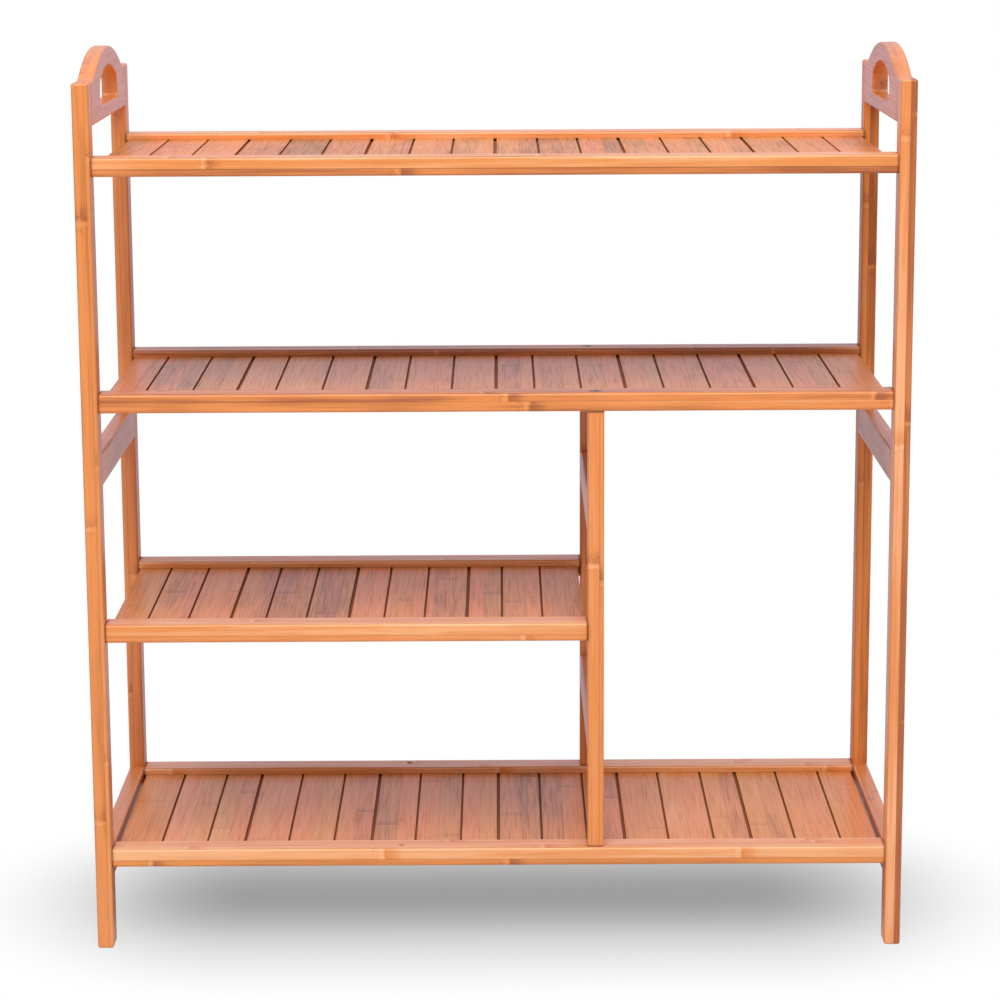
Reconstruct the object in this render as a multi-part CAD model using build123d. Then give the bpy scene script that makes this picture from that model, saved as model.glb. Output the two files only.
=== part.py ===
"""Tiered shoe rack in laminated bamboo, with a full-height boot compartment.

Two side frames carry three full-width shelves of grooved boards. A divider frame stands on the
bottom shelf, under the second, and carries the right end of a short third shelf.

Millimetres. X runs along the shelves, Y from the front (-Y) to the back, Z up from the floor.
The origin is on the floor, under the middle of the rack.
"""
from build123d import *
import os

# ---- overall sizes ----
WIDTH = 700.0
DEPTH = 284.0
LEG_HEIGHT = 750.0

# ---- heights of the shelves, to the tops of their rails ----
BOTTOM_SHELF_TOP = 88.5
BOTTOM_TO_THIRD = 200.5
THIRD_TO_SECOND = 199.5
TOP_SHELF_TO_LEG_TOP = 62.0
SHELF_TOPS = {
    "top": LEG_HEIGHT - TOP_SHELF_TO_LEG_TOP,
    "second": BOTTOM_SHELF_TOP + BOTTOM_TO_THIRD + THIRD_TO_SECOND,
    "third": BOTTOM_SHELF_TOP + BOTTOM_TO_THIRD,
    "bottom": BOTTOM_SHELF_TOP,
}

# ---- side frames ----
LEG_THICK = 14.0
LEG_DEPTH = 24.0
LEG_EDGE = 2.2
SIDE_RAIL_HEIGHT = 28.0
SIDE_RAIL_EDGE = 2.0
SECOND_SHELF_TO_SIDE_RAIL = 54.0

# ---- handle panels, which close the side frames at the top ----
HANDLE_BELOW_LEG_TOP = 37.5
HANDLE_CROWN = 23.0
HANDLE_FOOT_FLAT = 8.0
HANDLE_SHOULDER_RADIUS = 40.0
HANDLE_EDGE = 2.0
SLOT_WIDTH = 120.0
SLOT_SILL = 12.5
SLOT_HEIGHT = 32.0
SLOT_TOP_RADIUS = 150.0
SLOT_SHOULDER_RADIUS = 13.0
SLOT_CORNER_RADIUS = 4.0
SLOT_EDGE = 1.2

# ---- shelf rails ----
RAIL_DEPTH = 26.0
RAIL_LIP = 3.0
RAIL_SETBACK = 4.0
RAIL_EDGE = 2.5

# ---- shelf boards, whose ends sit in grooves along the rails ----
BOARD_THICK = 7.0
BOARD_RECESS = 6.0
BOARD_EDGE = 0.6
FULL_SHELF_BOARDS = 6
THIRD_SHELF_BOARDS = 4
END_GAP = 2.5
JOINT_GAP = 2.8
TONGUE_THICK = 2.0
TONGUE_GRIP = 2.2
RAIL_GROOVE_DEPTH = 8.0
RAIL_GROOVE_END_CLEARANCE = 0.5
# each board's face is milled into three strips; these are their shares of the board's pitch
STRIP_GROOVE_WIDTH = 1.8
STRIP_GROOVE_DEPTH = 2.5
STRIP_SHARES = {
    "top": (0.340, 0.324, 0.336),
    "second": (0.297, 0.360, 0.343),
    "third": (0.298, 0.342, 0.360),
    "bottom": (0.344, 0.359, 0.297),
}

# ---- divider frame ----
DIVIDER_X = 84.5
POST_THICK = 14.0
POST_DEPTH = 20.0
POST_SETBACK = 6.0
POST_EDGE = 1.8
DIVIDER_RAIL_HEIGHT = 28.0
SECOND_SHELF_TO_DIVIDER_RAIL = 97.5
THIRD_SHELF_TO_DIVIDER_RAIL = 92.5

# ---- fasteners ----
SCREW_HEAD_DIAMETER = 11.0
SCREW_HEAD_HEIGHT = 3.2
SCREW_SOCKET_FLATS = 4.0
SCREW_SOCKET_DEPTH = 2.0
SHELF_SCREW_DIAMETER = 6.0
SHELF_SCREW_LENGTH = 45.0
POST_SCREW_DIAMETER = 5.0
POST_SCREW_LENGTH = 38.0
DOWEL_DIAMETER = 6.0
DOWEL_IN_LEG = 15.0
DOWEL_IN_POST = 12.0
DOWEL_IN_RAIL = 18.0
DOWEL_FROM_EDGE = 7.0
HOLE_CLEARANCE = 0.15

# ---- places worked out from the sizes above ----
INNER_X = WIDTH / 2 - LEG_THICK
LEG_X = WIDTH / 2 - LEG_THICK / 2
LEG_Y = DEPTH / 2 - LEG_DEPTH / 2
SIDE_SPAN = DEPTH - 2 * LEG_DEPTH
MIDDLE_SIDE_RAIL_TOP = SHELF_TOPS["second"] - SECOND_SHELF_TO_SIDE_RAIL
HANDLE_BOTTOM = LEG_HEIGHT - HANDLE_BELOW_LEG_TOP
SLOT_BOTTOM = HANDLE_BOTTOM + SLOT_SILL
RAIL_HEIGHT = BOARD_RECESS + BOARD_THICK + RAIL_LIP
RAIL_OUTER_Y = DEPTH / 2 - RAIL_SETBACK
RAIL_Y = RAIL_OUTER_Y - RAIL_DEPTH / 2
RAIL_INNER_Y = RAIL_OUTER_Y - RAIL_DEPTH
GROOVE_Y = RAIL_INNER_Y + RAIL_GROOVE_DEPTH
POST_OUTER_Y = DEPTH / 2 - POST_SETBACK
POST_Y = POST_OUTER_Y - POST_DEPTH / 2
POST_SPAN = 2 * (POST_OUTER_Y - POST_DEPTH)
# a screw crosses a rail midway between its groove and the outer face that both pieces share
LEG_SCREW_Y = (GROOVE_Y + RAIL_OUTER_Y) / 2
POST_SCREW_Y = (GROOVE_Y + min(RAIL_OUTER_Y, POST_OUTER_Y)) / 2
POST_FOOT = SHELF_TOPS["bottom"]
POST_TOP = SHELF_TOPS["second"] - RAIL_HEIGHT
THIRD_RIGHT_X = DIVIDER_X - POST_THICK / 2
DIVIDER_RAIL_TOPS = {
    "upper": SHELF_TOPS["second"] - SECOND_SHELF_TO_DIVIDER_RAIL,
    "lower": SHELF_TOPS["third"] - THIRD_SHELF_TO_DIVIDER_RAIL,
}
HEAD_HOLE_RADIUS = SCREW_HEAD_DIAMETER / 2 + HOLE_CLEARANCE
DOWEL_HOLE_RADIUS = DOWEL_DIAMETER / 2 + HOLE_CLEARANCE
MIDDLE_DOWELS = (DOWEL_FROM_EDGE, SIDE_RAIL_HEIGHT - DOWEL_FROM_EDGE)
# the bottom shelf's screws cross the legs where an upper dowel would go
BOTTOM_DOWELS = (DOWEL_FROM_EDGE,)
DIVIDER_DOWELS = (DOWEL_FROM_EDGE, DIVIDER_RAIL_HEIGHT - DOWEL_FROM_EDGE)
HANDLE_DOWELS = (DOWEL_FROM_EDGE, HANDLE_BELOW_LEG_TOP - DOWEL_FROM_EDGE)

SIDES = {"left": -1, "right": 1}
ENDS = {"front": -1, "rear": 1}


def shelf_right_x(shelf):
    """Where a shelf's rails end on the right: at the divider or at the right legs."""
    return THIRD_RIGHT_X if shelf == "third" else INNER_X


def board(x_size, y_size, z_size, place, edge_radius, grain):
    """A straight board with its long edges rounded; grain is the axis it runs along."""
    blank = Pos(*place) * Box(x_size, y_size, z_size)
    return fillet(blank.edges().filter_by(grain), edge_radius)


def cylinder_between(start, end, radius):
    """A round bar or bore from one point to another."""
    line = Line(start, end)
    return extrude(Plane(origin=start, z_dir=line % 0) * Circle(radius), amount=line.length)


# ---- fasteners ----
def screw(seat, direction, diameter, length):
    """A socket-head screw: seat is under the head, direction is the way it is driven."""
    at = Vector(*seat)
    way = Vector(*direction)
    head_top = at - way * SCREW_HEAD_HEIGHT
    head = cylinder_between(head_top, at, SCREW_HEAD_DIAMETER / 2)
    shank = cylinder_between(at, at + way * length, diameter / 2)
    socket_outline = Plane(origin=head_top, z_dir=way) * RegularPolygon(
        SCREW_SOCKET_FLATS / 2, 6, major_radius=False)
    return head + shank - extrude(socket_outline, amount=SCREW_SOCKET_DEPTH)


def screw_hole(seat, direction, diameter, length):
    """The counterbore and the bore that a screw of these sizes needs."""
    at = Vector(*seat)
    way = Vector(*direction)
    counterbore = cylinder_between(at - way * SCREW_HEAD_HEIGHT, at, HEAD_HOLE_RADIUS)
    bore_end = at + way * (length + HOLE_CLEARANCE)
    return counterbore + cylinder_between(at, bore_end, diameter / 2 + HOLE_CLEARANCE)


def shelf_screw_seats(shelf):
    """Seat and driving direction of the four screws in one shelf's rail ends."""
    z = SHELF_TOPS[shelf] - RAIL_HEIGHT / 2
    left_seat = -WIDTH / 2 + SCREW_HEAD_HEIGHT
    right_face, right_y = WIDTH / 2, LEG_SCREW_Y
    if shelf == "third":
        right_face, right_y = THIRD_RIGHT_X + POST_THICK, POST_SCREW_Y
    right_seat = right_face - SCREW_HEAD_HEIGHT
    return [((x, end * y, z), (way, 0, 0))
            for end in ENDS.values()
            for x, y, way in ((left_seat, LEG_SCREW_Y, 1), (right_seat, right_y, -1))]


def shelf_screw_holes(shelf):
    """Holes for one shelf's four screws, to cut from the rails, legs and posts."""
    return [screw_hole(seat, way, SHELF_SCREW_DIAMETER, SHELF_SCREW_LENGTH)
            for seat, way in shelf_screw_seats(shelf)]


def post_screw_seats(end, x=DIVIDER_X):
    """Seats of the screws down through the second shelf and up through the bottom one."""
    y = end * POST_SCREW_Y
    down = ((x, y, SHELF_TOPS["second"] - SCREW_HEAD_HEIGHT), (0, 0, -1))
    up = ((x, y, POST_FOOT - RAIL_HEIGHT + SCREW_HEAD_HEIGHT), (0, 0, 1))
    return down, up


def post_screw_hole(seat_and_way):
    seat, way = seat_and_way
    return screw_hole(seat, way, POST_SCREW_DIAMETER, POST_SCREW_LENGTH)


def dowel_lines(x, joint_y, in_upright, base_z, heights):
    """Ends of the dowels across both joints of a front-to-back rail."""
    return [((x, end * (joint_y + in_upright), base_z + height),
             (x, end * (joint_y - DOWEL_IN_RAIL), base_z + height))
            for end in ENDS.values() for height in heights]


def frame_dowel_lines(side):
    """Dowels of one side frame: handle panel, middle rail and bottom rail."""
    x = side * LEG_X
    joint_y = SIDE_SPAN / 2
    middle_base = MIDDLE_SIDE_RAIL_TOP - SIDE_RAIL_HEIGHT
    bottom_base = SHELF_TOPS["bottom"] - SIDE_RAIL_HEIGHT
    return (dowel_lines(x, joint_y, DOWEL_IN_LEG, HANDLE_BOTTOM, HANDLE_DOWELS)
            + dowel_lines(x, joint_y, DOWEL_IN_LEG, middle_base, MIDDLE_DOWELS)
            + dowel_lines(x, joint_y, DOWEL_IN_LEG, bottom_base, BOTTOM_DOWELS))


def divider_dowel_lines():
    """Dowels between the divider's posts and its two cross rails."""
    return [line for rail_top in DIVIDER_RAIL_TOPS.values()
            for line in dowel_lines(DIVIDER_X, POST_SPAN / 2, DOWEL_IN_POST,
                                    rail_top - DIVIDER_RAIL_HEIGHT, DIVIDER_DOWELS)]


def dowels(lines):
    return Compound([cylinder_between(start, end, DOWEL_DIAMETER / 2) for start, end in lines])


def dowel_holes(lines):
    return [cylinder_between(start, end, DOWEL_HOLE_RADIUS) for start, end in lines]


# ---- side frames ----
def leg(side, end):
    """An upright with all its edges rounded, drilled for shelf screws and dowels."""
    blank = Pos(side * LEG_X, end * LEG_Y, LEG_HEIGHT / 2) * Box(LEG_THICK, LEG_DEPTH, LEG_HEIGHT)
    blank = fillet(blank.edges(), LEG_EDGE)
    holes = dowel_holes(frame_dowel_lines(side))
    for shelf in SHELF_TOPS:
        holes += shelf_screw_holes(shelf)
    return blank - holes


def side_rail(side, top_z, lines):
    """A front-to-back rail between two legs, as thick as they are."""
    place = (side * LEG_X, 0, top_z - SIDE_RAIL_HEIGHT / 2)
    blank = board(LEG_THICK, SIDE_SPAN, SIDE_RAIL_HEIGHT, place, SIDE_RAIL_EDGE, Axis.Y)
    return blank - dowel_holes(lines)


def handle_outline():
    """Side view of a handle panel: a flat crown that sweeps down to the tops of the legs."""
    crown_z = LEG_HEIGHT + HANDLE_CROWN
    edge_y = SIDE_SPAN / 2
    foot_y = edge_y - HANDLE_FOOT_FLAT
    # the crown's arc and a shoulder's, of opposite bend, meet in one tangent
    radii = (foot_y ** 2 + HANDLE_CROWN ** 2) / (2 * HANDLE_CROWN)
    share = (radii - HANDLE_SHOULDER_RADIUS) / radii
    turn = (foot_y * share, crown_z - HANDLE_CROWN * share)
    crown = ThreePointArc((-turn[0], turn[1]), (0, crown_z), turn)
    right_shoulder = TangentArc(turn, (foot_y, LEG_HEIGHT), tangent=crown % 1)
    left_shoulder = mirror(right_shoulder, Plane.YZ)
    base = Polyline((foot_y, LEG_HEIGHT), (edge_y, LEG_HEIGHT), (edge_y, HANDLE_BOTTOM),
                    (-edge_y, HANDLE_BOTTOM), (-edge_y, LEG_HEIGHT), (-foot_y, LEG_HEIGHT))
    return make_face([crown, right_shoulder, base, left_shoulder])


def slot_outline():
    """Side view of the finger slot: flat below, arched above."""
    half = SLOT_WIDTH / 2
    top_z = SLOT_BOTTOM + SLOT_HEIGHT
    spring_z = top_z - SLOT_TOP_RADIUS + (SLOT_TOP_RADIUS ** 2 - half ** 2) ** 0.5
    arch = ThreePointArc((half, spring_z), (0, top_z), (-half, spring_z))
    sides = Polyline((-half, spring_z), (-half, SLOT_BOTTOM), (half, SLOT_BOTTOM), (half, spring_z))
    face = make_face([arch, sides])
    corners = face.vertices().sort_by(Axis.Y)
    face = fillet(corners[:2], SLOT_CORNER_RADIUS)
    return fillet(face.vertices().sort_by(Axis.Y)[-2:], SLOT_SHOULDER_RADIUS)


def handle_panel(side):
    """The board between the tops of two legs, with its finger slot."""
    plane = Plane(origin=(side * LEG_X - LEG_THICK / 2, 0, 0), x_dir=(0, 1, 0), z_dir=(1, 0, 0))
    blank = extrude(plane * handle_outline(), amount=LEG_THICK)
    faces = blank.faces().filter_by(Axis.X)
    long_edges = [edge for face in faces for edge in face.edges()
                  if abs(abs(edge.center().Y) - SIDE_SPAN / 2) > LEG_EDGE]
    blank = fillet(long_edges, HANDLE_EDGE)
    blank -= extrude(plane * slot_outline(), amount=LEG_THICK)
    rim = [edge for face in blank.faces().filter_by(Axis.X) for wire in face.inner_wires()
           for edge in wire.edges()]
    return fillet(rim, SLOT_EDGE) - dowel_holes(frame_dowel_lines(side))


# ---- shelves ----
def shelf_rail(shelf, end):
    """A shelf's front or rear rail, grooved on its inner side for the boards."""
    left_x = -INNER_X
    right_x = shelf_right_x(shelf)
    top_z = SHELF_TOPS[shelf]
    length = right_x - left_x
    middle_x = (left_x + right_x) / 2
    blank = board(length, RAIL_DEPTH, RAIL_HEIGHT,
                  (middle_x, end * RAIL_Y, top_z - RAIL_HEIGHT / 2), RAIL_EDGE, Axis.X)
    groove_middle_y = RAIL_INNER_Y + RAIL_GROOVE_DEPTH / 2
    groove_z = top_z - BOARD_RECESS - BOARD_THICK / 2
    groove = Pos(middle_x, end * groove_middle_y, groove_z) * Box(
        length, RAIL_GROOVE_DEPTH, BOARD_THICK)
    cuts = [groove] + shelf_screw_holes(shelf)
    down, up = post_screw_seats(end)
    if shelf == "second":
        cuts.append(post_screw_hole(down))
    if shelf == "bottom":
        # a second pair of holes lets the divider stand on the other side of the middle
        cuts += [post_screw_hole(up), post_screw_hole(post_screw_seats(end, -DIVIDER_X)[1])]
    return blank - cuts


def shelf_board(shelf, left_x, pitch, has_left_joint, has_right_joint):
    """One shelf board: two grooves milled in its face, and tongue and groove at its sides."""
    right_x = left_x + pitch - JOINT_GAP
    length = 2 * (GROOVE_Y - RAIL_GROOVE_END_CLEARANCE)
    top_z = SHELF_TOPS[shelf] - BOARD_RECESS
    middle_z = top_z - BOARD_THICK / 2
    blank = board(right_x - left_x, length, BOARD_THICK,
                  ((left_x + right_x) / 2, 0, middle_z), BOARD_EDGE, Axis.Y)
    joint_x = left_x - JOINT_GAP / 2
    for share in STRIP_SHARES[shelf][:2]:
        joint_x += pitch * share
        blank -= Pos(joint_x, 0, top_z) * Box(STRIP_GROOVE_WIDTH, length, 2 * STRIP_GROOVE_DEPTH)
    upper_edges = blank.edges().filter_by(Axis.Y).group_by(Axis.Z)[-1]
    groove_edges = [edge for edge in upper_edges
                    if left_x + 2 * BOARD_EDGE < edge.center().X < right_x - 2 * BOARD_EDGE]
    blank = fillet(groove_edges, BOARD_EDGE)
    if has_left_joint:
        blank -= Pos(left_x + TONGUE_GRIP / 2, 0, middle_z) * Box(TONGUE_GRIP, length, TONGUE_THICK)
    if has_right_joint:
        tongue = JOINT_GAP + TONGUE_GRIP
        blank += Pos(right_x + tongue / 2, 0, middle_z) * Box(tongue, length, TONGUE_THICK)
    return blank


def shelf_boards(shelf):
    """The shelf's boards from left to right."""
    count = THIRD_SHELF_BOARDS if shelf == "third" else FULL_SHELF_BOARDS
    left_x = -INNER_X + END_GAP
    pitch = (shelf_right_x(shelf) - END_GAP + JOINT_GAP - left_x) / count
    for index in range(count):
        yield shelf_board(shelf, left_x + index * pitch, pitch, index > 0, index < count - 1)


def shelf_screws(shelf):
    return Compound([screw(seat, way, SHELF_SCREW_DIAMETER, SHELF_SCREW_LENGTH)
                     for seat, way in shelf_screw_seats(shelf)])


# ---- divider ----
def divider_post(end):
    """An upright between the bottom and second shelves, beside the third one."""
    height = POST_TOP - POST_FOOT
    blank = board(POST_THICK, POST_DEPTH, height,
                  (DIVIDER_X, end * POST_Y, POST_FOOT + height / 2), POST_EDGE, Axis.Z)
    holes = dowel_holes(divider_dowel_lines()) + shelf_screw_holes("third")
    return blank - holes - [post_screw_hole(seat) for seat in post_screw_seats(end)]


def divider_rail(top_z):
    """A front-to-back rail between the divider's posts."""
    place = (DIVIDER_X, 0, top_z - DIVIDER_RAIL_HEIGHT / 2)
    blank = board(POST_THICK, POST_SPAN, DIVIDER_RAIL_HEIGHT, place, POST_EDGE, Axis.Y)
    return blank - dowel_holes(divider_dowel_lines())


def divider_screws(index):
    """The two screws of one end of the posts: index 0 is the top, 1 the bottom."""
    seats = [post_screw_seats(end)[index] for end in ENDS.values()]
    return Compound([screw(seat, way, POST_SCREW_DIAMETER, POST_SCREW_LENGTH)
                     for seat, way in seats])


def build_nodes():
    """Every sub-part of the rack, by the name of its node."""
    nodes = {}
    for side_name, side in SIDES.items():
        lines = frame_dowel_lines(side)
        for end_name, end in ENDS.items():
            nodes[f"{end_name}_{side_name}_leg"] = leg(side, end)
        nodes[f"{side_name}_handle_panel"] = handle_panel(side)
        nodes[f"{side_name}_middle_side_rail"] = side_rail(side, MIDDLE_SIDE_RAIL_TOP, lines)
        nodes[f"{side_name}_bottom_side_rail"] = side_rail(side, SHELF_TOPS["bottom"], lines)
        nodes[f"{side_name}_frame_dowels"] = dowels(lines)
    for shelf in SHELF_TOPS:
        for end_name, end in ENDS.items():
            nodes[f"{shelf}_shelf_{end_name}_rail"] = shelf_rail(shelf, end)
        for number, shelf_piece in enumerate(shelf_boards(shelf), start=1):
            nodes[f"{shelf}_shelf_board_{number}"] = shelf_piece
        nodes[f"{shelf}_shelf_screws"] = shelf_screws(shelf)
    for end_name, end in ENDS.items():
        nodes[f"divider_{end_name}_post"] = divider_post(end)
    for rail_name, rail_top in DIVIDER_RAIL_TOPS.items():
        nodes[f"divider_{rail_name}_rail"] = divider_rail(rail_top)
    nodes["divider_top_screws"] = divider_screws(0)
    nodes["divider_bottom_screws"] = divider_screws(1)
    nodes["divider_dowels"] = dowels(divider_dowel_lines())
    return nodes


os.makedirs("parts", exist_ok=True)
for name, shape in build_nodes().items():
    export_step(shape, f"parts/{name}.step")
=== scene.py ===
import math
import random

import bmesh
import bpy
from mathutils import Euler, Matrix, Vector


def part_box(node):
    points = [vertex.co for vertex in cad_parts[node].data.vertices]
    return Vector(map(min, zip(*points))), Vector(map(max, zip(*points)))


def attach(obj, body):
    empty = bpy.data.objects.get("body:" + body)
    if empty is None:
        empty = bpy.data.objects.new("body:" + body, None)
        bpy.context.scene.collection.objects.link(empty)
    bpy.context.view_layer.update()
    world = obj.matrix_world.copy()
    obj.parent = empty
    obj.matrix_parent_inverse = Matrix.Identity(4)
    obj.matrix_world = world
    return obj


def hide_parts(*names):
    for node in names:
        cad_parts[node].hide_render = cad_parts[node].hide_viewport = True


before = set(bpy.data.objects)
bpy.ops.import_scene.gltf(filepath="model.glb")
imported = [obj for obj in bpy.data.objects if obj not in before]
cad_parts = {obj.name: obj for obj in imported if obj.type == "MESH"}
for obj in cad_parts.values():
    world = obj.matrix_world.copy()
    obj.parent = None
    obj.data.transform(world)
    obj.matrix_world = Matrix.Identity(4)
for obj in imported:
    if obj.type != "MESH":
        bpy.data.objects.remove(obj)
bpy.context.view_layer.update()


# ---- legs ----
# Four uprights of laminated bamboo, each glued up from two layers of split cane, planed, rounded
# on every edge and finished with clear satin lacquer. Dowels and shelf screws join them to the rest.
def feed(tree, node, inputs):
    """Fills a node's inputs; each is a plain value or another node's output."""
    for name, value in inputs.items():
        if isinstance(value, bpy.types.NodeSocket):
            tree.links.new(value, node.inputs[name])
        else:
            node.inputs[name].default_value = value


def add_node(tree, kind, inputs=None, **settings):
    """A shader node with its settings and inputs."""
    node = tree.nodes.new(kind)
    for name, value in settings.items():
        setattr(node, name, value)
    feed(tree, node, inputs or {})
    return node


def calculate(tree, operation, *values):
    """The output of a Math node."""
    return add_node(tree, "ShaderNodeMath", dict(enumerate(values)), operation=operation).outputs[0]


def fade(tree, value, start, end):
    """0 up to start, 1 from end on, and smooth between them; start may be the larger."""
    low, high = sorted((start, end))
    ends = (0.0, 1.0) if start < end else (1.0, 0.0)
    node = add_node(tree, "ShaderNodeMapRange",
                    {"Value": value, "From Min": low, "From Max": high,
                     "To Min": ends[0], "To Max": ends[1]}, interpolation_type="SMOOTHSTEP")
    return node.outputs[0]


def blend_colours(tree, amount, first, second, blend_type="MIX"):
    """The colour output of a Mix node; amount 0 gives the first colour, 1 the second."""
    node = add_node(tree, "ShaderNodeMix", {0: amount, 6: first, 7: second},
                    data_type="RGBA", blend_type=blend_type)
    return node.outputs[2]


def start_group(name, inputs, outputs):
    """An empty node group; inputs and outputs are lists of (name, kind of socket)."""
    tree = bpy.data.node_groups.new(name, "ShaderNodeTree")
    for direction, sockets in (("INPUT", inputs), ("OUTPUT", outputs)):
        for label, kind in sockets:
            tree.interface.new_socket(label, in_out=direction, socket_type="NodeSocket" + kind)
    start = tree.nodes.new("NodeGroupInput").outputs
    return tree, start, tree.nodes.new("NodeGroupOutput").inputs


# each mark's name, how closely it repeats along and across the grain, and its detail
GRAIN_MARKS = (("Fibre", (16.0, 620.0, 620.0), 3.0),
               ("Streak", (4.5, 150.0, 150.0), 2.0),
               ("Cloud", (7.0, 26.0, 26.0), 2.0))
GRAIN_BREAKUP = 0.6
GRAIN_RANGE = (0.32, 0.68)


def cane_fibre_group():
    """Fine fibres and broader streaks that run along the grain, which is the X of Place."""
    tree, given, result = start_group(
        "cane_fibre", [("Place", "Vector"), ("Seed", "Float")],
        [(mark, "Float") for mark, closeness, detail in GRAIN_MARKS])
    for mark, closeness, detail in GRAIN_MARKS:
        stretched = add_node(tree, "ShaderNodeVectorMath", {0: given["Place"], 1: closeness},
                             operation="MULTIPLY").outputs[0]
        noise = add_node(tree, "ShaderNodeTexNoise",
                         {"Vector": stretched, "W": given["Seed"], "Scale": 1.0,
                          "Detail": detail, "Roughness": GRAIN_BREAKUP}, noise_dimensions="4D")
        tree.links.new(fade(tree, noise.outputs[0], *GRAIN_RANGE), result[mark])
    return tree


# the cane's ring marks; lengths are in metres, and the pairs are the ends of a fade
RING_WAVE = 0.0035
RING_WAVE_SCALE = 210.0
RING_SCATTER = 5.0
RINGS_MISSING = 0.25
RING_PALE = (0.0034, 0.0008)
SMUDGE_FADES_OUT = (0.022, 0.003)
SMUDGE_FADES_IN = (-0.002, 0.004)
SPECK_SCALE = 620.0
SPECK_RANGE = (0.54, 0.66)
SPECK_REACH = (0.015, 0.003)


def knuckle_marks(tree, given, along_grain, strip, chance):
    """Ring marks by output name, at a different place in each strip and missing from some."""
    wave = add_node(tree, "ShaderNodeTexNoise", {"Vector": given["Place"], "Scale": RING_WAVE_SCALE,
                                                 "Detail": 1.0}).outputs[0]
    along = calculate(tree, "MULTIPLY_ADD", wave, RING_WAVE, along_grain)
    along = calculate(tree, "DIVIDE", along, given["Knuckle Spacing"])
    along = calculate(tree, "MULTIPLY_ADD", chance, RING_SCATTER, along)
    ring = calculate(tree, "FLOOR", along)
    from_ring = calculate(tree, "SUBTRACT", calculate(tree, "FRACT", along), 0.5)
    from_ring = calculate(tree, "MULTIPLY", from_ring, given["Knuckle Spacing"])
    distance = calculate(tree, "ABSOLUTE", from_ring)
    cell = add_node(tree, "ShaderNodeCombineXYZ", {0: strip, 1: ring, 2: given["Seed"]}).outputs[0]
    ring_chance = add_node(tree, "ShaderNodeTexWhiteNoise", {"Vector": cell}, noise_dimensions="3D")
    present = calculate(tree, "GREATER_THAN", ring_chance.outputs["Value"], RINGS_MISSING)

    smudge = calculate(tree, "MULTIPLY", fade(tree, from_ring, *SMUDGE_FADES_OUT),
                       fade(tree, from_ring, *SMUDGE_FADES_IN))
    specks = add_node(tree, "ShaderNodeTexNoise", {"Vector": given["Place"], "Scale": SPECK_SCALE,
                                                   "Detail": 1.0}).outputs[0]
    fleck = calculate(tree, "MULTIPLY", fade(tree, specks, *SPECK_RANGE),
                      fade(tree, distance, *SPECK_REACH))
    marks = {"Knuckle Pale": fade(tree, distance, *RING_PALE), "Knuckle Smudge": smudge,
             "Knuckle Fleck": fleck}
    return {name: calculate(tree, "MULTIPLY", mark, present) for name, mark in marks.items()}


UPPER_LAYER_SHIFT = 0.37  # of a strip's width
GLUE_LINE = (0.0006, 0.0001)


def cane_strips_group():
    """The glued strips: which layer and strip a point is in, the glue lines and the knuckles."""
    tree, given, result = start_group(
        "cane_strips",
        [("Place", "Vector"), ("Seed", "Float"), ("Strip Width", "Float"), ("Layer Split", "Float"),
         ("Knuckle Spacing", "Float")],
        [("Upper Layer", "Float"), ("Strip Shade", "Float"), ("Strip Hue", "Float"),
         ("Glue", "Float"), ("Knuckle Pale", "Float"), ("Knuckle Smudge", "Float"),
         ("Knuckle Fleck", "Float")])
    place = add_node(tree, "ShaderNodeSeparateXYZ", {0: given["Place"]}).outputs
    above = calculate(tree, "SUBTRACT", place["Z"], given["Layer Split"])
    upper = calculate(tree, "GREATER_THAN", above, 0.0)
    shift = calculate(tree, "MULTIPLY", upper, UPPER_LAYER_SHIFT)
    across = calculate(tree, "DIVIDE", place["Y"], given["Strip Width"])
    across = calculate(tree, "ADD", across, shift)
    strip = calculate(tree, "FLOOR", across)
    cell = add_node(tree, "ShaderNodeCombineXYZ", {0: strip, 1: upper, 2: given["Seed"]}).outputs[0]
    chance = add_node(tree, "ShaderNodeTexWhiteNoise", {"Vector": cell}, noise_dimensions="3D")
    chances = add_node(tree, "ShaderNodeSeparateColor", {0: chance.outputs["Color"]}).outputs

    side_gap = calculate(tree, "PINGPONG", across, 0.5)
    side_gap = calculate(tree, "MULTIPLY", side_gap, given["Strip Width"])
    gap = calculate(tree, "MINIMUM", side_gap, calculate(tree, "ABSOLUTE", above))

    masks = {"Upper Layer": upper, "Strip Shade": chances[0], "Strip Hue": chances[2],
             "Glue": fade(tree, gap, *GLUE_LINE),
             **knuckle_marks(tree, given, place["X"], strip, chances[1])}
    for name, mask in masks.items():
        tree.links.new(mask, result[name])
    return tree


# how wide the lacquer is rubbed along an edge and how wide the dark line at a joint is, in metres;
# the joint line is partly lacquer and partly painted shade
RUBBED_WIDTH = 0.0016
RUB_SCALE = 90.0
RUB_LEAST = 0.6
JOINT_WIDTH = 0.0026


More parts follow.
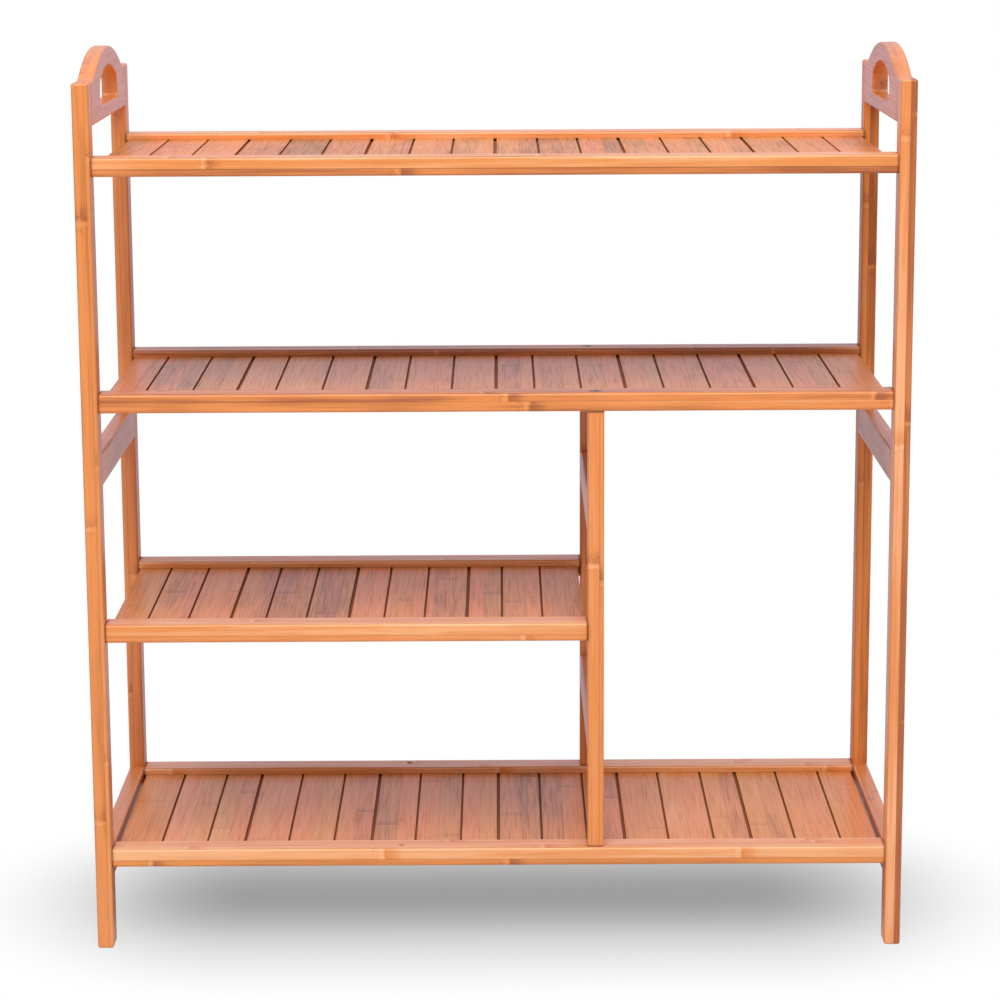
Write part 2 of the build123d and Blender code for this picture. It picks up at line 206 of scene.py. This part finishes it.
def worn_edges_group():
    """How near a point is to an edge and to an end of a straight piece, both 0 to 1."""
    tree, given, result = start_group(
        "worn_edges", [("Place", "Vector"), ("Half Size", "Vector")],
        [("Edge", "Float"), ("End", "Float")])
    place = add_node(tree, "ShaderNodeVectorMath", {0: given["Place"]}, operation="ABSOLUTE")
    inside = add_node(tree, "ShaderNodeVectorMath", {0: given["Half Size"], 1: place.outputs[0]},
                      operation="SUBTRACT").outputs[0]
    depth = add_node(tree, "ShaderNodeSeparateXYZ", {0: inside}).outputs
    nearer = calculate(tree, "MINIMUM", depth["X"], depth["Y"])
    farther = calculate(tree, "MAXIMUM", depth["X"], depth["Y"])
    middle = calculate(tree, "MAXIMUM", nearer, calculate(tree, "MINIMUM", farther, depth["Z"]))
    rub = add_node(tree, "ShaderNodeTexNoise",
                   {"Vector": given["Place"], "Scale": RUB_SCALE, "Detail": 2.0}).outputs[0]
    reach = calculate(tree, "MULTIPLY", RUBBED_WIDTH, calculate(tree, "ADD", rub, RUB_LEAST))
    for name, distance, width in (("Edge", middle, reach), ("End", depth["X"], JOINT_WIDTH)):
        nearness = calculate(tree, "SUBTRACT", 1.0, calculate(tree, "DIVIDE", distance, width))
        tree.links.new(fade(tree, nearness, 0.0, 1.0), result[name])
    return tree


# the tone runs from 0, pale, to 1, deep; each weight is how much a mark deepens it
MIDDLE_TONE = 0.5
CLOUD_WEIGHT = 0.17
RUBBED_WEIGHT = -0.10
FLECK_WEIGHT = 0.9
OCHRE_TINT = (0.93, 1.07, 0.84, 1.0)
ROSE_TINT = (1.01, 0.96, 1.08, 1.0)


def cane_colour(tree, given, strips, fibre, edges, knuckle):
    """The colour of clean, glued cane."""
    layer_step = calculate(tree, "SUBTRACT", given["Upper Tone"], given["Lower Tone"])
    tone = calculate(tree, "MULTIPLY_ADD", strips["Upper Layer"], layer_step, given["Lower Tone"])
    for mark, middle, weight in ((strips["Strip Shade"], 0.5, given["Strip Contrast"]),
                                 (fibre["Streak"], 0.5, given["Streak Contrast"]),
                                 (fibre["Fibre"], 0.5, given["Fibre Contrast"]),
                                 (fibre["Cloud"], 0.5, CLOUD_WEIGHT),
                                 (edges["Edge"], 0.0, RUBBED_WEIGHT),
                                 (knuckle, 0.0, given["Knuckle Contrast"])):
        shifted = calculate(tree, "SUBTRACT", mark, middle)
        tone = calculate(tree, "MULTIPLY_ADD", shifted, weight, tone)
    colour = blend_colours(tree, fade(tree, tone, 0.0, MIDDLE_TONE), given["Pale"], given["Warm"])
    colour = blend_colours(tree, fade(tree, tone, MIDDLE_TONE, 1.0), colour, given["Deep"])

    # some strips lean to ochre and others to rose
    tint = blend_colours(tree, strips["Strip Hue"], OCHRE_TINT, ROSE_TINT)
    return blend_colours(tree, given["Hue Contrast"], colour, tint, "MULTIPLY")


PORE_RANGE = (0.6, 1.0)
# painted shade: the darkening starts this far below a piece's top face and is full at the second
# depth
PAINTED_RECESS_SHADE_DEPTH = (0.0003, 0.0018)
DARK_BROWN = (0.13, 0.030, 0.006, 1.0)


def darkening(tree, given, strips, fibre, edges):
    """Where it is darker still: pores, glue lines, the joint at a rail's end (partly lacquer, partly
    painted shade), and painted shade in milled recesses and below a piece's top face.
    """
    place = add_node(tree, "ShaderNodeSeparateXYZ", {0: given["Place"]}).outputs
    half_size = add_node(tree, "ShaderNodeSeparateXYZ", {0: given["Half Size"]}).outputs
    below_face = calculate(tree, "ADD", place["Z"], half_size["Z"])
    dark = 0.0
    for mark, strength in ((fade(tree, fibre["Fibre"], *PORE_RANGE), given["Fibre Contrast"]),
                           (strips["Glue"], given["Glue Shade"]),
                           (edges["End"], given["End Shade"]),
                           (fade(tree, below_face, *PAINTED_RECESS_SHADE_DEPTH), given["Painted Recess Shade"])):
        dark = calculate(tree, "MAXIMUM", dark, calculate(tree, "MULTIPLY", mark, strength))
    return dark


# roughness of the lacquer, and what the fibres, rubbed edges and dark places add to it
LACQUER_ROUGHNESS = 0.36
FIBRE_ROUGHENS = 0.08
EDGE_ROUGHENS = 0.10
DARK_ROUGHENS = 0.5
# how far the fibres and glue lines lie below the surface and the knuckles above it
FIBRE_RELIEF = -0.35
GLUE_RELIEF = -0.8
KNUCKLE_RELIEF = 1.6


def laminated_bamboo_group(fibre_group, strips_group, edges_group):
    """Colour, roughness and relief of glued and lacquered bamboo."""
    tree, given, result = start_group(
        "laminated_bamboo",
        [("Place", "Vector"), ("Half Size", "Vector"), ("Seed", "Float"), ("Strip Width", "Float"),
         ("Layer Split", "Float"), ("Knuckle Spacing", "Float"), ("Upper Tone", "Float"),
         ("Lower Tone", "Float"), ("Strip Contrast", "Float"), ("Streak Contrast", "Float"),
         ("Fibre Contrast", "Float"), ("Knuckle Contrast", "Float"), ("Glue Shade", "Float"),
         ("End Shade", "Float"), ("Painted Recess Shade", "Float"), ("Hue Contrast", "Float"),
         ("Pale", "Color"), ("Warm", "Color"), ("Deep", "Color")],
        [("Color", "Color"), ("Roughness", "Float"), ("Height", "Float"), ("Gloss", "Float")])
    parts = []
    for group in (fibre_group, strips_group, edges_group):
        part = add_node(tree, "ShaderNodeGroup", node_tree=group)
        for socket in part.inputs:
            tree.links.new(given[socket.name], socket)
        parts.append(part.outputs)
    fibre, strips, edges = parts

    knuckle = calculate(tree, "MULTIPLY_ADD", strips["Knuckle Pale"], -1.0, strips["Knuckle Smudge"])
    knuckle = calculate(tree, "MULTIPLY_ADD", strips["Knuckle Fleck"], FLECK_WEIGHT, knuckle)
    dark = darkening(tree, given, strips, fibre, edges)
    colour = cane_colour(tree, given, strips, fibre, edges, knuckle)
    tree.links.new(blend_colours(tree, dark, colour, DARK_BROWN), result["Color"])

    rough = calculate(tree, "MULTIPLY_ADD", fibre["Fibre"], FIBRE_ROUGHENS, LACQUER_ROUGHNESS)
    rough = calculate(tree, "MULTIPLY_ADD", edges["Edge"], EDGE_ROUGHENS, rough)
    rough = calculate(tree, "MULTIPLY_ADD", dark, DARK_ROUGHENS, rough)
    tree.links.new(rough, result["Roughness"])
    tree.links.new(calculate(tree, "SUBTRACT", 1.0, dark), result["Gloss"])

    height = calculate(tree, "MULTIPLY", fibre["Fibre"], FIBRE_RELIEF)
    height = calculate(tree, "MULTIPLY_ADD", strips["Glue"], GLUE_RELIEF, height)
    raised = calculate(tree, "MULTIPLY", knuckle, given["Knuckle Contrast"])
    height = calculate(tree, "MULTIPLY_ADD", raised, KNUCKLE_RELIEF, height)
    tree.links.new(height, result["Height"])
    return tree


fibre_group = cane_fibre_group()
bamboo_group = laminated_bamboo_group(fibre_group, cane_strips_group(), worn_edges_group())
AXES = {"X": Vector((1, 0, 0)), "Y": Vector((0, 1, 0)), "Z": Vector((0, 0, 1))}
PALE_CANE = (0.93, 0.43, 0.19, 1.0)
WARM_CANE = (0.80, 0.25, 0.048, 1.0)
DEEP_CANE = (0.40, 0.098, 0.013, 1.0)
LACQUER = 0.5
COAT_ROUGHNESS = 0.30
RELIEF_STRENGTH = 0.6
RELIEF_DEPTH = 0.00012

# the bamboo group's values where a piece doesn't have its own
USUAL_LOOK = {"Strip Width": 0.008, "Layer Split": 0.0, "Knuckle Spacing": 0.26,
              "Upper Tone": 0.45, "Lower Tone": 0.45, "Strip Contrast": 0.18,
              "Streak Contrast": 0.26, "Fibre Contrast": 0.10, "Knuckle Contrast": 0.30,
              "Hue Contrast": 0.40, "Glue Shade": 0.30, "End Shade": 0.0, "Painted Recess Shade": 0.0,
              "Pale": PALE_CANE, "Warm": WARM_CANE, "Deep": DEEP_CANE}


def new_finish(name):
    """A new material and its node tree."""
    material = bpy.data.materials.new(name)
    material.use_nodes = True
    return material, material.node_tree


def put_on(node_name, material):
    """Gives one CAD piece its material."""
    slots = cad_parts[node_name].data.materials
    slots.clear()
    slots.append(material)


def place_on(tree, node_name, grain, across):
    """A piece's own coordinates, from its middle: X along the grain, Y across the strips."""
    low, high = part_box(node_name)
    axes = (AXES[grain], AXES[across], AXES[grain].cross(AXES[across]))
    half_size = [abs(axis.dot(high - low)) / 2 for axis in axes]
    whole = add_node(tree, "ShaderNodeTexCoord").outputs["Object"]
    turn = Matrix(axes).transposed().to_euler()
    place = add_node(tree, "ShaderNodeMapping",
                     {"Vector": whole, "Location": (low + high) / 2, "Rotation": turn},
                     vector_type="TEXTURE")
    return place.outputs[0], half_size


def finish_wood(tree, colour, roughness, height, specular=0.5, coat=0.0):
    """Wires a wood's colour, roughness and relief to its shader, under a clear satin coat."""
    bump = add_node(tree, "ShaderNodeBump", {"Height": height, "Strength": RELIEF_STRENGTH,
                                             "Distance": RELIEF_DEPTH})
    feed(tree, tree.nodes["Principled BSDF"],
         {"Base Color": colour, "Roughness": roughness, "Normal": bump.outputs[0],
          "Specular IOR Level": specular, "Coat Weight": coat, "Coat Roughness": COAT_ROUGHNESS})


def dress_in_bamboo(node_name, grain, across, seed, look, gloss=1.0):
    """Gives one CAD piece its own laminated bamboo; look holds the values of the bamboo group."""
    material, tree = new_finish("bamboo_" + node_name)
    place, half_size = place_on(tree, node_name, grain, across)
    values = {**USUAL_LOOK, "Place": place, "Half Size": half_size, "Seed": seed, **look}
    bamboo = add_node(tree, "ShaderNodeGroup", values, node_tree=bamboo_group).outputs
    # lacquer hardly reaches the bottom of a groove or a joint
    coat = calculate(tree, "MULTIPLY", bamboo["Gloss"], LACQUER * gloss)
    finish_wood(tree, bamboo["Color"], bamboo["Roughness"], bamboo["Height"], LACQUER * gloss, coat)
    put_on(node_name, material)


# the upper layer of a leg is the one on its -X side
LEG_LOOKS = {
    "front_left_leg": {"Upper Tone": 0.50, "Lower Tone": 0.42, "Layer Split": -0.0035},
    "front_right_leg": {"Upper Tone": 0.38, "Lower Tone": 1.00, "Layer Split": -0.0014},
    "rear_left_leg": {"Upper Tone": 0.36, "Lower Tone": 0.52, "Layer Split": 0.0022},
    "rear_right_leg": {"Upper Tone": 0.60, "Lower Tone": 0.74, "Layer Split": 0.0010},
}
LEG_GLOSS = {"rear_right_leg": 0.5}  # a duller leg; the others have the usual gloss
LEG_KNUCKLES = 0.20
LEG_SEED = 1.7
for number, (leg, look) in enumerate(LEG_LOOKS.items()):
    dress_in_bamboo(leg, "Z", "Y", LEG_SEED + number, {"Knuckle Contrast": LEG_KNUCKLES, **look},
                    LEG_GLOSS.get(leg, 1.0))


# ---- side rails and handle panels ----
# Straight rails and an arched panel with a finger slot join each pair of legs. They are sawn from
# the same laminated board as the legs, with the grain from front to back, and dowelled and glued.
SIDE_PIECES = ("handle_panel", "middle_side_rail", "bottom_side_rail")
SIDE_TONES = {"left": 0.52, "right": 0.64}
SIDE_LAYER_STEP = 0.06
SIDE_STRIP = 0.0187
SIDE_GLOSS = 1.25
SIDE_SEED = 11.3
for number, piece in enumerate(SIDE_PIECES):
    for side, tone in SIDE_TONES.items():
        dress_in_bamboo(f"{side}_{piece}", "Y", "Z", SIDE_SEED + 2 * number + (side == "left"),
                        {"Upper Tone": tone, "Lower Tone": tone + SIDE_LAYER_STEP,
                         "Strip Width": SIDE_STRIP, "Strip Contrast": 0.08,
                         "Streak Contrast": 0.12, "Glue Shade": 0.12, "Knuckle Contrast": 0.12},
                        SIDE_GLOSS)


# ---- dowels of the side frames ----
# Plain turned hardwood pins, glued half in a rail's end and half in a leg. The joints hide them.
# Their wood is unfinished, with the grain along the pin.
PALE_PIN = (0.62, 0.42, 0.22, 1.0)
DARK_PIN = (0.44, 0.27, 0.12, 1.0)
PIN_ROUGHNESS = 0.55
PIN_ROUGHNESS_SPREAD = 0.15
SIDE_DOWEL_SEED = 21.0


def dress_in_hardwood(node_name, grain, across, seed):
    """Gives one CAD piece a plain hardwood."""
    material, tree = new_finish("hardwood_" + node_name)
    place = place_on(tree, node_name, grain, across)[0]
    fibre = add_node(tree, "ShaderNodeGroup", {"Place": place, "Seed": seed},
                     node_tree=fibre_group).outputs
    colour = blend_colours(tree, fibre["Streak"], PALE_PIN, DARK_PIN)
    rough = calculate(tree, "MULTIPLY_ADD", fibre["Fibre"], PIN_ROUGHNESS_SPREAD, PIN_ROUGHNESS)
    finish_wood(tree, colour, rough, fibre["Fibre"])
    put_on(node_name, material)


for number, side in enumerate(SIDE_TONES):
    dress_in_hardwood(f"{side}_frame_dowels", "Y", "Z", SIDE_DOWEL_SEED + number)


# ---- shelf rails ----
# A front and a rear rail carry each shelf. Two layers of cane show as two bands on the front face,
# and the ends butt against the legs, where lacquer and shadow leave a thin dark line.
RAIL_LOOKS = {
    "top": {"Upper Tone": 0.27, "Lower Tone": 0.86, "Layer Split": -0.0018,
            "Glue Shade": 0.55},
    "second": {"Upper Tone": 0.75, "Lower Tone": 0.50, "Layer Split": 0.0008,
               "Streak Contrast": 0.36, "Glue Shade": 0.12},
    "third": {"Upper Tone": 0.27, "Lower Tone": 0.37, "Layer Split": -0.0022},
    "bottom": {"Upper Tone": 0.18, "Lower Tone": 0.44, "Layer Split": -0.0020},
}
RAIL_STRIP = 0.00867
RAIL_SEED = 31.4
JOINT_SHADE = 0.8
for number, (shelf, look) in enumerate(RAIL_LOOKS.items()):
    for end in ("front", "rear"):
        seed = RAIL_SEED + 2 * number + (end == "rear")
        dress_in_bamboo(f"{shelf}_shelf_{end}_rail", "X", "Y", seed,
                        {"Strip Width": RAIL_STRIP, "End Shade": JOINT_SHADE,
                         "Knuckle Spacing": 0.31, **look})


# ---- shelf boards ----
# Each shelf is closed by boards that run from front to back. A board is glued up from wide strips
# and milled with two grooves; its ends sit in the rails and its sides join tongue in groove.
BOARD_TONES = {"top": 0.68, "second": 0.56, "third": 0.65, "bottom": 0.57}
BOARD_GLOSS = {"top": 0.5, "second": 0.9, "third": 0.6, "bottom": 0.8}
BOARD_TONE_SPREAD = 0.1
DEEP_BOARD = (0.38, 0.118, 0.024, 1.0)
BOARD_SEED = 51.0
SHELF_SEED_STEP = 7
# a board's visible ends get the dark joint line too, there painted shade under the rail's lip
HIDDEN_END = 0.0075  # how much of a board's end sits in the rail
ABOVE_FACE = 0.02  # a board is a single layer, so its layers part above it
# on a board the recess darkening is painted shade: it darkens the bottoms of its grooves and joints,
# and also its sides and underside
BOARD_LOOK = {"Strip Width": 0.0185, "Layer Split": ABOVE_FACE, "Knuckle Spacing": 0.30,
              "Strip Contrast": 0.26, "Streak Contrast": 0.12, "Fibre Contrast": 0.14,
              "Knuckle Contrast": 0.14, "Hue Contrast": 1.0, "Glue Shade": 0.15,
              "End Shade": 0.7, "Painted Recess Shade": 0.75, "Deep": DEEP_BOARD}
board_chance = random.Random(8)
for shelf_number, (shelf, tone) in enumerate(BOARD_TONES.items()):
    boards = [name for name in sorted(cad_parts) if name.startswith(f"{shelf}_shelf_board_")]
    for number, board in enumerate(boards):
        low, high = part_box(board)
        shown_half = ((high.y - low.y) / 2 - HIDDEN_END, (high.x - low.x) / 2, (high.z - low.z) / 2)
        own_tone = tone + board_chance.uniform(-BOARD_TONE_SPREAD, BOARD_TONE_SPREAD)
        dress_in_bamboo(board, "Y", "X", BOARD_SEED + SHELF_SEED_STEP * shelf_number + number,
                        {**BOARD_LOOK, "Half Size": shown_half, "Lower Tone": own_tone},
                        BOARD_GLOSS[shelf])


# ---- divider ----
# Two posts and two cross rails stand between the bottom and second shelves and make the boot space.
# They are bamboo like the legs, dowelled together; the posts are screwed to the shelves' rails.
POST_LOOKS = {
    "divider_front_post": {"Upper Tone": 0.47, "Lower Tone": 0.56, "Layer Split": -0.0030},
    "divider_rear_post": {"Upper Tone": 0.50, "Lower Tone": 0.58, "Layer Split": 0.0020},
}
POST_STRIP = 0.00667
POST_SEED = 91.2
CROSS_RAIL_SEED = 95.8
DIVIDER_DOWEL_SEED = 99.0
# the posts' ends get the dark line of a joint, partly lacquer and partly painted shade
for number, (post, look) in enumerate(POST_LOOKS.items()):
    dress_in_bamboo(post, "Z", "Y", POST_SEED + number,
                    {"Strip Width": POST_STRIP, "End Shade": JOINT_SHADE, **look})
for number, rail in enumerate(("divider_upper_rail", "divider_lower_rail")):
    dress_in_bamboo(rail, "Y", "Z", CROSS_RAIL_SEED + number, {"Strip Width": SIDE_STRIP})
dress_in_hardwood("divider_dowels", "Y", "Z", DIVIDER_DOWEL_SEED)


# ---- screws ----
# Plated steel socket-head screws, driven through the legs into the rails' ends and through the
# shelf rails into the posts. The heads lie in counterbores, flush with the wood.
BRIGHT_STEEL = (0.46, 0.40, 0.31, 1.0)
DULL_STEEL = (0.24, 0.19, 0.13, 1.0)
TARNISH_SCALE = 420.0
TARNISH_RANGE = (0.35, 0.7)
STEEL_ROUGHNESS = 0.28
TARNISH_ROUGHENS = 0.25
PLATING_SCALE = 2600.0
PLATING_STRENGTH = 0.3
PLATING_DEPTH = 0.00004


def plated_steel():
    """Steel with a thin, slightly tarnished plating."""
    material, tree = new_finish("plated_steel")
    whole = add_node(tree, "ShaderNodeTexCoord").outputs["Object"]
    plating = add_node(tree, "ShaderNodeTexNoise",
                       {"Vector": whole, "Scale": PLATING_SCALE, "Detail": 2.0}).outputs[0]
    tarnish = add_node(tree, "ShaderNodeTexNoise",
                       {"Vector": whole, "Scale": TARNISH_SCALE, "Detail": 3.0}).outputs[0]
    colour = blend_colours(tree, fade(tree, tarnish, *TARNISH_RANGE), BRIGHT_STEEL, DULL_STEEL)
    rough = calculate(tree, "MULTIPLY_ADD", tarnish, TARNISH_ROUGHENS, STEEL_ROUGHNESS)
    bump = add_node(tree, "ShaderNodeBump", {"Height": plating, "Strength": PLATING_STRENGTH,
                                             "Distance": PLATING_DEPTH})
    feed(tree, tree.nodes["Principled BSDF"],
         {"Base Color": colour, "Roughness": rough, "Normal": bump.outputs[0], "Metallic": 1.0})
    return material


def spin_section(mesh, points, closed, turns, steps, pitch):
    """Spins a half section of (radius, height) points round Z, rising by pitch in each turn."""
    verts = [mesh.verts.new((radius, 0, height)) for radius, height in points]
    ends = list(zip(verts, verts[1:] + verts[:1]))
    edges = [mesh.edges.new(pair) for pair in (ends if closed else ends[:-1])]
    bmesh.ops.spin(mesh, geom=verts + edges, cent=(0, 0, 0), axis=(0, 0, 1),
                   dvec=(0, 0, pitch / steps), angle=math.tau * turns, steps=steps * turns,
                   use_merge=not pitch, use_duplicate=False)


HEAD_RADIUS = 0.0055
HEAD_HEIGHT = 0.0032
HEAD_CHAMFER = 0.0004
HEAD_STEPS = 32
SOCKET_SIDES = 6
SOCKET_CORNER = 0.0023
SOCKET_DEPTH = 0.0020
POINT_SHARE = 0.4  # the flat tip's share of the core's radius
THREAD_DEPTH = 0.0006
THREAD_STEPS = 16
THREAD_SHARE = 0.6  # of the screw's length
THREAD_START = 1.5  # core radii above the tip
RIB_SHARE = 0.4  # the thread's width in pitches
RIB_SUNK = 0.0001


def turned_screw(radius, length, pitch):
    """A screw along Z: the underside of its head is at 0 and its point is down."""
    screw = bmesh.new()
    core = radius - THREAD_DEPTH
    outline = [(HEAD_RADIUS - HEAD_CHAMFER, HEAD_HEIGHT), (HEAD_RADIUS, HEAD_HEIGHT - HEAD_CHAMFER),
               (HEAD_RADIUS, 0.0), (core, 0.0), (core, core - length), (core * POINT_SHARE, -length)]
    spin_section(screw, outline, False, 1, HEAD_STEPS, 0.0)

    # the hexagonal socket is sunk from a ring in the head's top
    rim = [edge for edge in screw.edges
           if all(vert.co.z > HEAD_HEIGHT - HEAD_CHAMFER / 2 for vert in edge.verts)]
    socket = bmesh.ops.create_circle(screw, segments=SOCKET_SIDES, radius=SOCKET_CORNER,
                                     matrix=Matrix.Translation((0, 0, HEAD_HEIGHT)))["verts"]
    mouth = [edge for edge in screw.edges if all(vert in socket for vert in edge.verts)]
    bmesh.ops.bridge_loops(screw, edges=rim + mouth)
    walls = bmesh.ops.extrude_edge_only(screw, edges=mouth)["geom"]
    foot = [item for item in walls if isinstance(item, bmesh.types.BMVert)]
    bmesh.ops.translate(screw, verts=foot, vec=(0, 0, -SOCKET_DEPTH))

    # the thread is one rib, wound up the lower part of the shank and sunk a little into it
    low = THREAD_START * core - length
    rib = [(core - RIB_SUNK, low), (radius, low + RIB_SHARE * pitch / 2),
           (core - RIB_SUNK, low + RIB_SHARE * pitch)]
    spin_section(screw, rib, True, int(THREAD_SHARE * length / pitch), THREAD_STEPS, pitch)

    bmesh.ops.holes_fill(screw, edges=screw.edges, sides=0)
    bmesh.ops.recalc_face_normals(screw, faces=screw.faces)
    data = bpy.data.meshes.new("turned_screw")
    screw.to_mesh(data)
    screw.free()
    return data


def fit_screws(node_name, screw, seats):
    """One piece of like screws; each seat is a place under the head and the way it is driven."""
    joined = bmesh.new()
    for place, way in seats:
        copy = screw.copy()
        turn = Vector((0, 0, -1)).rotation_difference(Vector(way)).to_matrix().to_4x4()
        copy.transform(Matrix.Translation(place) @ turn)
        joined.from_mesh(copy)
        bpy.data.meshes.remove(copy)
    data = bpy.data.meshes.new("turned_" + node_name)
    joined.to_mesh(data)
    joined.free()
    data.materials.append(steel)
    piece = bpy.data.objects.new("turned_" + node_name, data)
    bpy.context.scene.collection.objects.link(piece)
    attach(piece, "root")
    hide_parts(node_name)
    put_on(node_name, steel)


SHELF_SCREW = {"radius": 0.0030, "length": 0.045, "pitch": 0.0020}
POST_SCREW = {"radius": 0.0025, "length": 0.038, "pitch": 0.0018}
THIRD_RIGHT_Y = 0.128  # the third shelf's right screws go through the posts
steel = plated_steel()
shelf_screw = turned_screw(**SHELF_SCREW)
for shelf in RAIL_LOOKS:
    low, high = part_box(shelf + "_shelf_screws")
    middle_z = (low.z + high.z) / 2
    left_y = high.y - HEAD_RADIUS
    right_y = THIRD_RIGHT_Y if shelf == "third" else left_y
    seats = [((low.x + HEAD_HEIGHT, end * left_y, middle_z), (1, 0, 0)) for end in (-1, 1)]
    seats += [((high.x - HEAD_HEIGHT, end * right_y, middle_z), (-1, 0, 0)) for end in (-1, 1)]
    fit_screws(shelf + "_shelf_screws", shelf_screw, seats)
post_screw = turned_screw(**POST_SCREW)
for end_name, way in (("top", -1), ("bottom", 1)):
    low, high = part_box(f"divider_{end_name}_screws")
    middle_x = (low.x + high.x) / 2
    seat_y = high.y - HEAD_RADIUS
    seat_z = (high.z if way < 0 else low.z) + way * HEAD_HEIGHT
    seats = [((middle_x, end * seat_y, seat_z), (0, 0, way)) for end in (-1, 1)]
    fit_screws(f"divider_{end_name}_screws", post_screw, seats)
for spare in (shelf_screw, post_screw):
    bpy.data.meshes.remove(spare)


# ---- floor ----
# A plain white studio floor, not part of the rack. Near the rack it is matt and takes the rack's
# real soft shadow, and over it lies a painted shadow: a glow that only the camera sees, weakest
# under the rack and brightening to plain white away from it.
FLOOR_RADIUS = 6.0
FLOOR_SIDES = 96
PAINTED_SHADOW_HALF_LENGTH = 0.22
PAINTED_SHADOW_FADE = 0.29
LEAST_WHITE_IN_PAINTED_SHADOW = 0.33
# the matt floor is darker and a little bluer where the camera sees it than where it sends light on
FLOOR_IN_VIEW = (0.18, 0.21, 0.22, 1.0)
FLOOR_FOR_LIGHT = (0.75, 0.75, 0.75, 1.0)
floor_mesh = bmesh.new()
bmesh.ops.create_circle(floor_mesh, cap_ends=True, radius=FLOOR_RADIUS, segments=FLOOR_SIDES)
floor_data = bpy.data.meshes.new("studio_floor")
floor_mesh.to_mesh(floor_data)
floor_mesh.free()
floor = bpy.data.objects.new("studio_floor", floor_data)
bpy.context.scene.collection.objects.link(floor)

# the painted shadow is a long, soft spot: the distance from a line below the rack sets how white it
# is
floor_finish, tree = new_finish("studio_floor")
tree.nodes.clear()
spot = add_node(tree, "ShaderNodeTexCoord").outputs["Object"]
for operation, other in (("ABSOLUTE", (0.0, 0.0, 0.0)), ("SUBTRACT", (PAINTED_SHADOW_HALF_LENGTH, 0.0, 0.0)),
                         ("MAXIMUM", (0.0, 0.0, 0.0))):
    spot = add_node(tree, "ShaderNodeVectorMath", {0: spot, 1: other},
                    operation=operation).outputs[0]
from_line = add_node(tree, "ShaderNodeVectorMath", {0: spot}, operation="LENGTH").outputs["Value"]
white = calculate(tree, "MULTIPLY_ADD", fade(tree, from_line, 0.0, PAINTED_SHADOW_FADE),
                  1.0 - LEAST_WHITE_IN_PAINTED_SHADOW, LEAST_WHITE_IN_PAINTED_SHADOW)
seen = add_node(tree, "ShaderNodeLightPath").outputs["Is Camera Ray"]
paint = blend_colours(tree, seen, FLOOR_FOR_LIGHT, FLOOR_IN_VIEW)
matt = add_node(tree, "ShaderNodeBsdfDiffuse", {"Color": paint}).outputs[0]
glow = add_node(tree, "ShaderNodeEmission", {"Color": (1, 1, 1, 1), "Strength": 1.0}).outputs[0]
glow_share = calculate(tree, "MULTIPLY", white, seen)
surface = add_node(tree, "ShaderNodeMixShader", {0: glow_share, 1: matt, 2: glow}).outputs[0]
add_node(tree, "ShaderNodeOutputMaterial", {"Surface": surface})
floor_data.materials.append(floor_finish)


# ---- light ----
# Soft studio light: a wide panel in front, one overhead, and a pale room that is brightest behind
# the rack, where the lacquer reflects it.
def light_panel(name, place, aim, width, height, power):
    """A rectangular light of a given power in watts, turned to face its aim."""
    data = bpy.data.lights.new(name, "AREA")
    data.shape = "RECTANGLE"
    data.size = width
    data.size_y = height
    data.energy = power
    panel = bpy.data.objects.new(name, data)
    panel.location = place
    panel.rotation_mode = "QUATERNION"
    panel.rotation_quaternion = (Vector(aim) - Vector(place)).to_track_quat("-Z", "Y")
    bpy.context.scene.collection.objects.link(panel)


light_panel("front_panel", place=(-0.25, -3.0, 3.9), aim=(0, 0, 0.4), width=3.6, height=3.4,
            power=190.0)
light_panel("overhead_panel", place=(0.0, -0.3, 2.8), aim=(0, 0, 0), width=2.4, height=1.6,
            power=14.0)

ROOM_IN_FRONT = (0.36, 0.36, 0.42, 1.0)
ROOM_BEHIND = (0.66, 0.64, 0.78, 1.0)
ROOM_FADE = (-0.2, 0.9)
WHITE = (1.0, 1.0, 1.0, 1.0)
room = bpy.data.worlds.new("studio_room")
room.use_nodes = True
tree = room.node_tree
tree.nodes.clear()
heading = add_node(tree, "ShaderNodeTexCoord").outputs["Generated"]
heading = add_node(tree, "ShaderNodeSeparateXYZ", {0: heading}).outputs
behind = fade(tree, heading["Y"], *ROOM_FADE)
wall = blend_colours(tree, behind, ROOM_IN_FRONT, ROOM_BEHIND)
seen = add_node(tree, "ShaderNodeLightPath").outputs["Is Camera Ray"]
backdrop = blend_colours(tree, seen, wall, WHITE)
light = add_node(tree, "ShaderNodeBackground", {"Color": backdrop, "Strength": 1.0}).outputs[0]
add_node(tree, "ShaderNodeOutputWorld", {"Surface": light})
bpy.context.scene.world = room
bpy.context.scene.view_settings.view_transform = "Standard"


# ---- camera ----
# A long lens at chest height in front of the rack. It looks slightly down, and turns and rolls by
# a fraction of a degree.
CAMERA_PLACE = (0.0039, -2.7256, 0.9175)
CAMERA_TILT = 11.379
CAMERA_TURN = 0.022
CAMERA_ROLL = -0.288
FOCAL_LENGTH = 111.94
SENSOR_WIDTH = 36.0
FARTHEST_SEEN = 30.0
camera = bpy.data.objects.new("camera", bpy.data.cameras.new("camera"))
bpy.context.scene.collection.objects.link(camera)
camera.location = CAMERA_PLACE
look = Euler((math.radians(90.0 - CAMERA_TILT), 0.0, math.radians(CAMERA_TURN)), "XYZ").to_matrix()
roll = Matrix.Rotation(math.radians(CAMERA_ROLL), 3, "Z")
camera.rotation_mode = "QUATERNION"
camera.rotation_quaternion = (look @ roll).to_quaternion()
camera.data.lens = FOCAL_LENGTH
camera.data.sensor_width = SENSOR_WIDTH
camera.data.clip_end = FARTHEST_SEEN
bpy.context.scene.camera = camera
